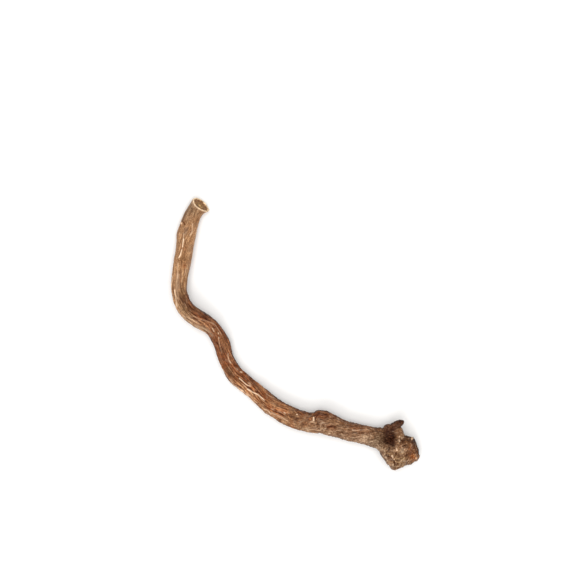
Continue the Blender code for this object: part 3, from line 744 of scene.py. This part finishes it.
def ring_faces(start, rings, sides):
    """Quads between rings of vertices, and the fans that close both ends."""
    ring, side = np.meshgrid(np.arange(rings - 1), np.arange(sides), indexing="ij")
    here = start + ring * sides + side
    beyond = start + ring * sides + (side + 1) % sides
    quads = np.stack([here, beyond, beyond + sides, here + sides], -1).reshape(-1, 4).tolist()
    last = start + (rings - 1) * sides
    first_hub, last_hub = start + rings * sides, start + rings * sides + 1
    fans = [[start + (s + 1) % sides, start + s, first_hub] for s in range(sides)]
    fans += [[last + s, last + (s + 1) % sides, last_hub] for s in range(sides)]
    return quads + fans


class Rind:
    """Collects closed shells into one mesh, with a value of each attribute at each vertex."""

    def __init__(self, *names):
        self.points, self.faces = [], []
        self.values = {name: [] for name in names}

    def add(self, rings, **values):
        count, sides = rings.shape[:2]
        start = sum(len(points) for points in self.points)
        hubs = np.stack([rings[0].mean(0), rings[-1].mean(0)])
        self.points.append(np.concatenate([rings.reshape(-1, 3), hubs]))
        self.faces += ring_faces(start, count, sides)
        for name, kept in self.values.items():
            value = np.broadcast_to(values.get(name, 0.0), (count, sides))
            kept.append(np.concatenate([value.ravel(), [value[0].mean(), value[-1].mean()]]))

    def mesh(self, name):
        data = bpy.data.meshes.new(name)
        points = np.concatenate(self.points) - MIDDLE
        points[:, 2] = np.maximum(points[:, 2], 0.0)
        data.from_pydata((points * MM).tolist(), [], self.faces)
        for attribute, kept in self.values.items():
            layer = data.attributes.new(attribute, "FLOAT", "POINT")
            layer.data.foreach_set("value", np.concatenate(kept).astype(np.float32))
        data.shade_smooth()
        return data


def padded(body, face_value, end_value=None):
    """A body value with the cut face's rings before it and the crown end's rings after it."""
    before = np.broadcast_to(face_value, (len(FACE_RINGS), SIDES))
    after = np.broadcast_to(body[-1] if end_value is None else end_value, (len(END_RINGS), SIDES))
    return np.concatenate([before, body, after])


on_rind = {
    "rubbed": pale,
    "sunken": dark,
    "grain": grain + along(SPECK_SHARE, distance) * specks,
    "tint": tint,
    "beneath": beneath,
    "browned": browned,
    "dust": dust,
    "pit": pit,
    "torn": torn,
}
rind = Rind(*on_rind, "cut_face", "toward_core")
rind.add(
    np.concatenate([face, point, end]),
    cut_face=padded(np.zeros_like(distance), 1.0),
    toward_core=padded(np.zeros_like(distance), face_t, 0.0),
    **{name: padded(value, 0.0) for name, value in on_rind.items()},
)
for foot, tip, foot_radius, tip_radius, age in STUMPS:
    surface, rubbed, sunken, slope = stump_surface(foot, tip, foot_radius, tip_radius)
    rubbed_here, tint_here, browned_here = crown_spots(surface)
    # painted shade, darker low down and where the stump slopes under
    low = smooth_step(-surface[..., 2], *STUMP_LOW_SHADE)
    rind.add(
        surface,
        rubbed=(1.0 - OLD_RUBBED_LESS * age) * rubbed + rubbed_here,
        sunken=sunken + OLD_SUNKEN_MORE * age ** 2,
        tint=tint_here - CROWN_GREYNESS,
        browned=np.clip(age + browned_here, 0.0, 1.0),
        dust=STUMP_DUST,
        beneath=np.maximum(low, SLOPE_SHADE * slope),
        pit=STUMP_PIT_SHADE * np.minimum(pit_shade_share(surface), 1.0),
        torn=np.clip(torn_share(surface), 0.0, 1.0),
    )
root_mesh = rind.mesh("taproot")
taproot = bpy.data.objects.new("taproot", root_mesh)
bpy.context.scene.collection.objects.link(taproot)

# The bark: dry root bark, a thin cork skin on a root that was washed and dried whole in air, never
# peeled or polished. It gives the eye a dull tan ground, mottled and specked, red to dark brown
# where damp and age stained it, cream on rubbed crests and dark deep in the folds. Part of the
# cream is painted highlight, and painted shade darkens the folds, the flanks, the underside and
# the pit.
PATTERNS = {  # size in mm, detail
    "mottle": (3.5, 3.0),  # patches of thicker cork are 3 to 4 mm long
    "speck": (0.5, 3.0),  # cork scales are 0.1 to 0.2 mm wide, drawn coarser so that they show
    "fleck": (0.9, 3.0),  # fibre bundles of the flesh are about 0.3 mm thick, drawn coarser
    "pore": (0.35, 2.0),  # pores are under 0.1 mm wide, drawn coarser so that they show
}
PORE_STRENGTH, PORE_DEPTH = 0.35, 0.1
FLECK_SHARE = 0.8
# Dry bark typically has IOR 1.5 and roughness 0.7, and it is no metal. This rind has a faint, wide
# silky sheen, so its roughness is a little lower, and its specular level well under the usual 0.5.
BARK_FINISH = {"IOR": 1.5, "Metallic": 0.0, "Roughness": 0.50, "Specular IOR Level": 0.18}


def linear(code, gain=1.0):
    """An sRGB hex colour as linear RGBA, times a gain where it brightens what is under it."""
    channels = [int(code[i:i + 2], 16) / 255 for i in (1, 3, 5)]
    return tuple(gain * (c / 12.92 if c <= 0.04045 else ((c + 0.055) / 1.055) ** 2.4)
                 for c in channels) + (1.0,)


def add_node(material, kind, settings=None):
    """Adds a node and gives it its settings: values, links from outputs, or a ramp's stops."""
    tree = material.node_tree
    node = tree.nodes.new(kind)
    for name, setting in (settings or {}).items():
        if isinstance(setting, bpy.types.NodeSocket):
            tree.links.new(setting, node.inputs[name])
        elif name == "stops":
            first, last = node.color_ramp.elements
            first.position, first.color = setting[0]
            last.position, last.color = setting[-1]
            for position, colour in setting[1:-1]:
                node.color_ramp.elements.new(position).color = colour
        elif isinstance(name, int) or name in node.inputs:
            node.inputs[name].default_value = setting
        else:
            setattr(node, name, setting)
    return node


RAMPS = {  # colours along each pattern or value, most of them factors on the skin beneath
    "mottle": [(0.30, linear("#E7DFD7")), (0.70, linear("#FFFEFE", 1.15))],
    # The bright ends of speck and grain are partly painted glints.
    "speck": [
        (0.30, linear("#C5BCB1")),
        (0.50, linear("#FFFFFF")),
        (0.70, linear("#FFFFFE", 1.52)),
    ],
    "grain": [
        (0.10, linear("#BFB5AD")),
        (0.50, linear("#FFFFFF")),
        (0.70, linear("#F2F9FF", 1.28)),
        (0.90, linear("#E4F3FF", 2.12)),
    ],
    "tint": [
        (0.00, linear(GREYER_SKIN, TINT_GAIN)),
        (0.50, linear("#FFFFFF")),
        (1.00, linear(REDDER_SKIN, TINT_GAIN)),
    ],
    "fleck": [
        (0.35, linear("#C4B8AD")),
        (0.52, linear("#FFFFFF")),
        (0.66, linear("#FFF8EA", 1.7)),
    ],
    "toward_core": [(position, linear(code)) for position, code in FLESH_COLOURS],
}
STEPS = [  # value, operation and numbers that bring it to the range its ramp or coat reads
    ("grain", "MULTIPLY_ADD", 0.5, 0.5),
    ("tint", "MULTIPLY_ADD", 0.5, 0.5),
    ("sunken", "MINIMUM", 1.0),
    ("rubbed", "MINIMUM", 1.25),
    ("rubbed", "MULTIPLY", 0.8),
    ("rubbed", "POWER", 1.35),
]

bark = bpy.data.materials.new("dry_root_bark")
bark.use_nodes = True
place = add_node(bark, "ShaderNodeTexCoord").outputs["Object"]
values = {}
for name in rind.values:
    values[name] = add_node(bark, "ShaderNodeAttribute", {"attribute_name": name}).outputs["Fac"]
for name, (size, detail) in PATTERNS.items():
    pattern = {"Scale": 1.0 / (size * MM), "Detail": detail, "Vector": place}
    values[name] = add_node(bark, "ShaderNodeTexNoise", pattern).outputs["Fac"]
for name, operation, *numbers in STEPS:
    step = {"operation": operation, 0: values[name], **dict(enumerate(numbers, 1))}
    values[name] = add_node(bark, "ShaderNodeMath", step).outputs[0]
ramped = {}
for name, stops in RAMPS.items():
    ramp = add_node(bark, "ShaderNodeValToRGB", {"Fac": values[name], "stops": stops})
    ramped[name] = ramp.outputs["Color"]

FACTOR, UNDER, OVER, RESULT = 0, 6, 7, 2  # the sockets of a Mix node that blends colours
flesh = add_node(bark, "ShaderNodeMix", {
    "data_type": "RGBA",
    "blend_type": "MULTIPLY",
    FACTOR: FLECK_SHARE,
    UNDER: ramped["toward_core"],
    OVER: ramped["fleck"],
})
COATS = [  # laid over the dry tan skin in turn: way, colour, share
    # browning, partly painted shade on the flanks
    ("MIX", linear(DAMP_BROWN), values["browned"]),
    ("MIX", linear(DUST_GREY), values["dust"]),
    ("MULTIPLY", ramped["mottle"], 1.0),
    ("MULTIPLY", ramped["speck"], 1.0),
    ("MULTIPLY", ramped["grain"], 1.0),
    ("MULTIPLY", ramped["tint"], 1.0),
    # painted shade beneath
    ("MULTIPLY", linear(UNDERSIDE_SHADE_COLOUR), values["beneath"]),
    # darker cork, partly painted shade in the creases
    ("MULTIPLY", linear(SUNKEN_AND_SHADE_DARK), values["sunken"]),
    # cream, partly painted highlight on the crests
    ("MIX", linear(RUBBED_AND_GLINT_CREAM), values["rubbed"]),
    ("MULTIPLY", linear(TORN_ORANGE, TORN_GAIN), values["torn"]),
    # painted shade in the pit
    ("MULTIPLY", linear(PIT_SHADE_COLOUR), values["pit"]),
    ("MIX", flesh.outputs[RESULT], values["cut_face"]),
]
skin = linear(DRY_TAN)
for way, colour, share in COATS:
    coat = {"data_type": "RGBA", "blend_type": way, FACTOR: share, UNDER: skin, OVER: colour}
    skin = add_node(bark, "ShaderNodeMix", coat).outputs[RESULT]
pores = {"Strength": PORE_STRENGTH, "Distance": PORE_DEPTH * MM, "Height": values["pore"]}
bump = add_node(bark, "ShaderNodeBump", pores)
shader = bark.node_tree.nodes["Principled BSDF"]
bark.node_tree.links.new(skin, shader.inputs["Base Color"])
bark.node_tree.links.new(bump.outputs["Normal"], shader.inputs["Normal"])
for socket, number in BARK_FINISH.items():
    shader.inputs[socket].default_value = number
root_mesh.materials.append(bark)

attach(taproot, "root")
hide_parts("dandelion_root")

# The floor: a wide plain sheet of uncoated white paper, pressed smooth but with no gloss, on which
# the root lies and which takes its soft shadow. It only sets the stage. Its size is in metres.
FLOOR_SIZE, FLOOR_GAP = 6.0, 0.0001
PAPER_WHITE = "#F6F5F4"
PAPER_FINISH = {"IOR": 1.5, "Metallic": 0.0, "Roughness": 0.9}
bpy.ops.mesh.primitive_plane_add(size=FLOOR_SIZE, location=(0.0, 0.0, -FLOOR_GAP))
floor = bpy.context.object
floor.name = "floor"
paper = bpy.data.materials.new("white_paper")
paper.use_nodes = True
sheet = paper.node_tree.nodes["Principled BSDF"]
sheet.inputs["Base Color"].default_value = linear(PAPER_WHITE)
for socket, number in PAPER_FINISH.items():
    sheet.inputs[socket].default_value = number
floor.data.materials.append(paper)

# The light, as for a product picture: a wide soft box overhead that leaves no gloss, a smaller one
# in front of the root, both aimed at its middle, and soft fill from all round. Places and sizes
# are in metres.
FILL_COLOUR, FILL_STRENGTH = (1.0, 0.99, 0.97, 1.0), 0.6
SOFTBOXES = [  # name, place, width and depth, power, whether it shows as gloss
    ("overhead", (0.0, 0.05, 1.2), (0.9, 0.9), 9.2, False),
    ("key", (-0.15, -0.45, 0.65), (0.5, 0.3), 1.8, True),
]
AIM = Vector((0.0, 0.0, 0.0))
scene = bpy.context.scene
scene.view_settings.view_transform = "Standard"
world = bpy.data.worlds.new("studio")
world.use_nodes = True
fill = world.node_tree.nodes["Background"]
fill.inputs["Color"].default_value = FILL_COLOUR
fill.inputs["Strength"].default_value = FILL_STRENGTH
world.cycles_visibility.glossy = False
scene.world = world
for name, stand, (width, depth), power, shows in SOFTBOXES:
    lamp = bpy.data.lights.new(name, "AREA")
    lamp.shape = "RECTANGLE"
    lamp.size, lamp.size_y = width, depth
    lamp.energy = power
    softbox = bpy.data.objects.new(name, lamp)
    softbox.location = stand
    softbox.rotation_euler = (AIM - Vector(stand)).to_track_quat("-Z", "Y").to_euler()
    softbox.visible_glossy = shows
    scene.collection.objects.link(softbox)

# The camera: a long lens straight above, so high that one pixel covers 0.4 mm at the level of the
# root's axis. It stands a little aside from the root's middle, as the photograph is framed.
MM_PER_PIXEL, FRAME_PIXELS = 0.40, 588
PIXEL_OF_ORIGIN = (296.2, 334.9)  # across and down, where the stations' x and y are 0
FRAME_CENTRE = (
    (FRAME_PIXELS / 2 - PIXEL_OF_ORIGIN[0]) * MM_PER_PIXEL,
    (PIXEL_OF_ORIGIN[1] - FRAME_PIXELS / 2) * MM_PER_PIXEL,
)
ROOT_LEVEL = 5.0
LENS_LENGTH, SENSOR_WIDTH = 100.0, 36.0
NEAREST, FARTHEST = 0.01, 20.0
height = ROOT_LEVEL + FRAME_PIXELS * MM_PER_PIXEL * LENS_LENGTH / SENSOR_WIDTH
lens = bpy.data.cameras.new("camera")
lens.lens, lens.sensor_width = LENS_LENGTH, SENSOR_WIDTH
lens.clip_start, lens.clip_end = NEAREST, FARTHEST
camera = bpy.data.objects.new("camera", lens)
camera.location = (
    (FRAME_CENTRE[0] - MIDDLE[0]) * MM,
    (FRAME_CENTRE[1] - MIDDLE[1]) * MM,
    height * MM,
)
scene.collection.objects.link(camera)
scene.camera = camera
